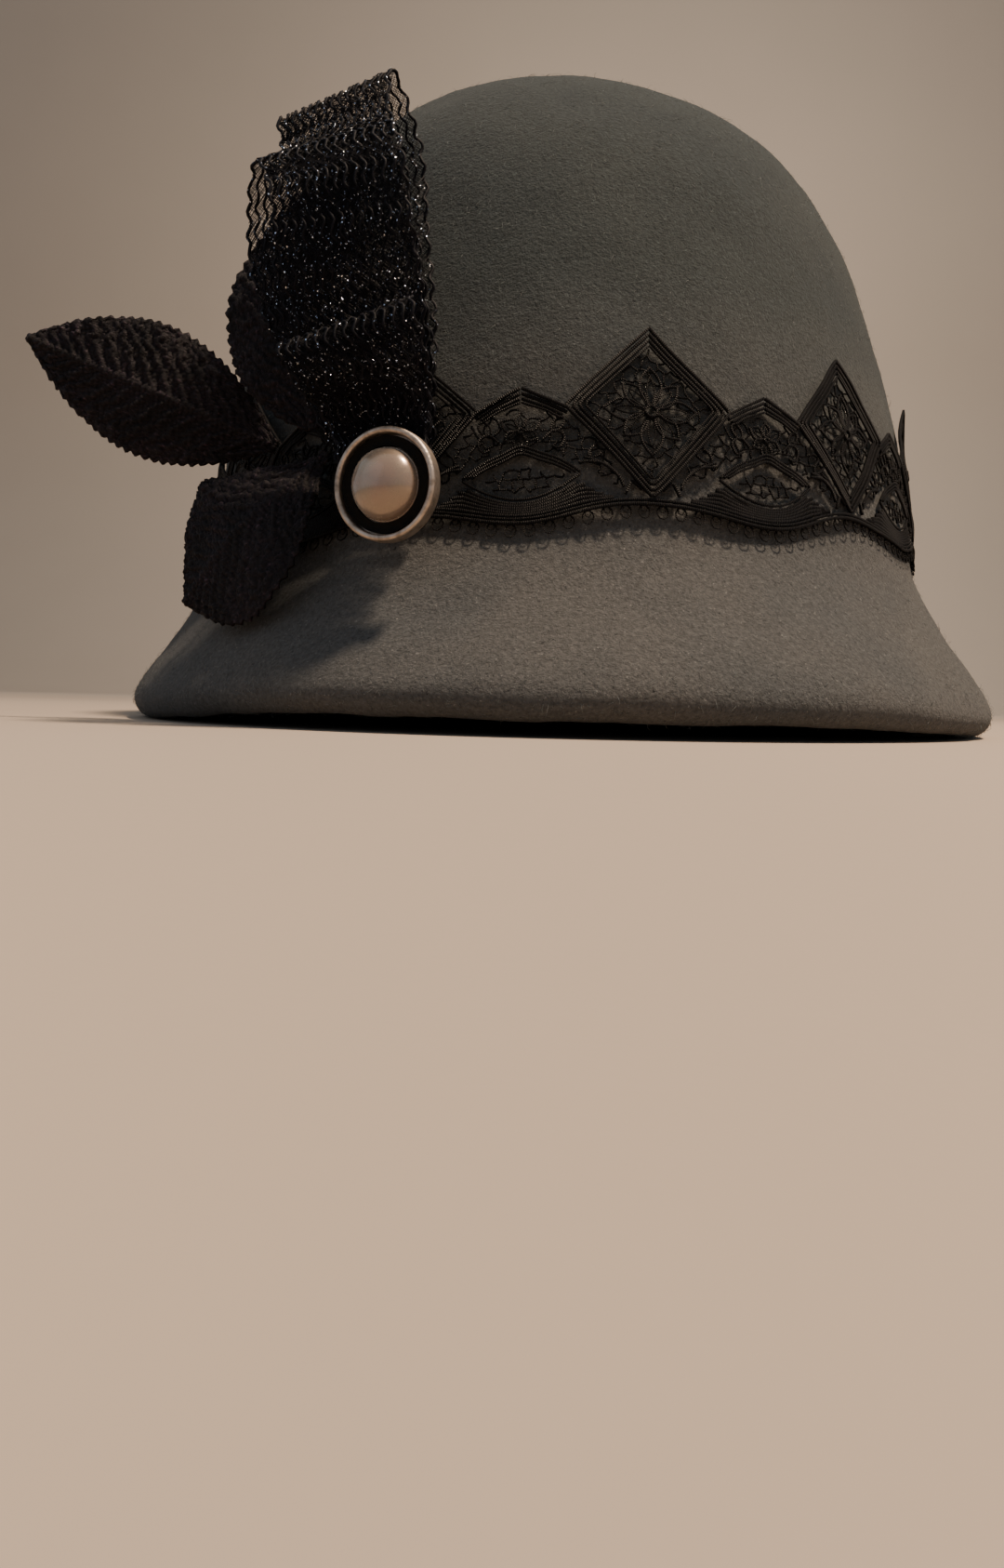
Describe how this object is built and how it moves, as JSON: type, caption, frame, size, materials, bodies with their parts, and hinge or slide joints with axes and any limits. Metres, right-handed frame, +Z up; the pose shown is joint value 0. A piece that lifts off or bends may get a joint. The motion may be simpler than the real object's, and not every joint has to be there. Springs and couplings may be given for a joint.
{
  "type": "cloche hat",
  "caption": "Felt cloche hat with a domed crown and a flared, rolled brim, trimmed with a lace band, net ribbon loops, velvet leaves and a pearl button.",
  "frame": {"origin": "on the surface that the hat rests on, under the middle of its outline, which is the middle of the brim and the foot of the crown's axis", "axes": "+Z up through the crown, -Y towards the front of the hat, -X towards the bow on the wearer's right, as seen from the front"},
  "size_m": [0.2152, 0.2496, 0.152],
  "materials": {
    "felt": "blocked wool felt, mottled mid grey with a faint green cast, short fibre nap",
    "lace": "black corded lace trim with a slight silk sheen",
    "velvet": "black velvet and satin leaves, embossed with veins",
    "net_ribbon": "black stiff net ribbon with fine glitter",
    "button_metal": "antique pale metal, worn satin",
    "button_inlay": "dark matt ring with a thin gold line",
    "pearl": "imitation pearl, soft lustre"
  },
  "bodies": {
    "root": {"felt_body": "felt", "lace_band": "lace", "leaf_left": "velvet", "leaf_lower": "velvet", "leaf_back": "velvet", "net_loop_back": "net_ribbon", "net_loop_front": "net_ribbon", "net_loop_low": "net_ribbon", "button_rim": "button_metal", "button_inlay": "button_inlay", "button_pearl": "pearl"}
  },
  "joints": []
}
